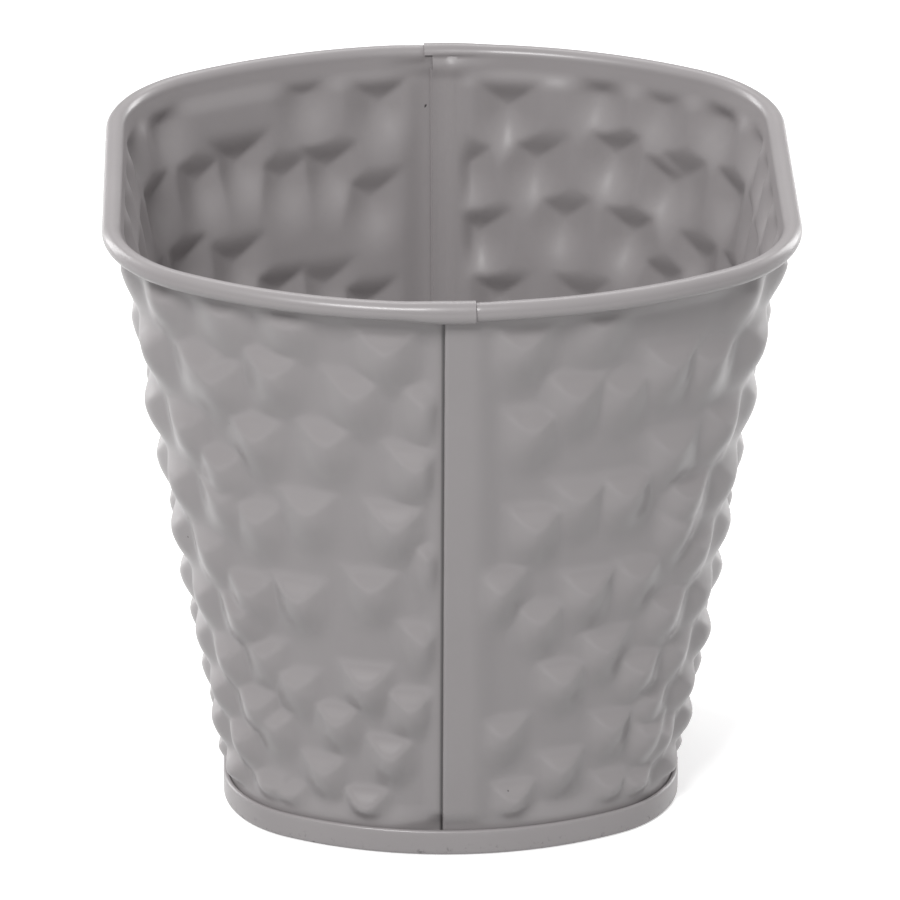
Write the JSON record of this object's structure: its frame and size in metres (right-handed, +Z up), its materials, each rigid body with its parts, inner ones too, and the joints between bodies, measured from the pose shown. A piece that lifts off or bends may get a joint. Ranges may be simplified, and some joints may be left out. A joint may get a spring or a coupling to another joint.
{
  "type": "florist bucket",
  "caption": "Flared square metal bucket with soft corners, a dimpled wall in halves joined by folded seams, a curled rim and a folded base ring; holds cut flowers or a pot.",
  "frame": {"origin": "middle of the base, on the plane that the base ring stands on", "axes": "+Z up, +X to the bucket's right, the front seam faces -Y and the back seam faces +Y"},
  "size_m": [0.14, 0.1384, 0.133],
  "materials": {
    "body_paint": "semi-gloss warm grey paint on embossed sheet",
    "base_paint": "semi-gloss warm grey paint on plain sheet",
    "sealant": "matt dark sealing compound"
  },
  "bodies": {
    "root": {"left_body_panel": "body_paint", "right_body_panel": "body_paint", "bottom_plate": "base_paint", "bottom_seam_sealant": "sealant"}
  },
  "joints": []
}
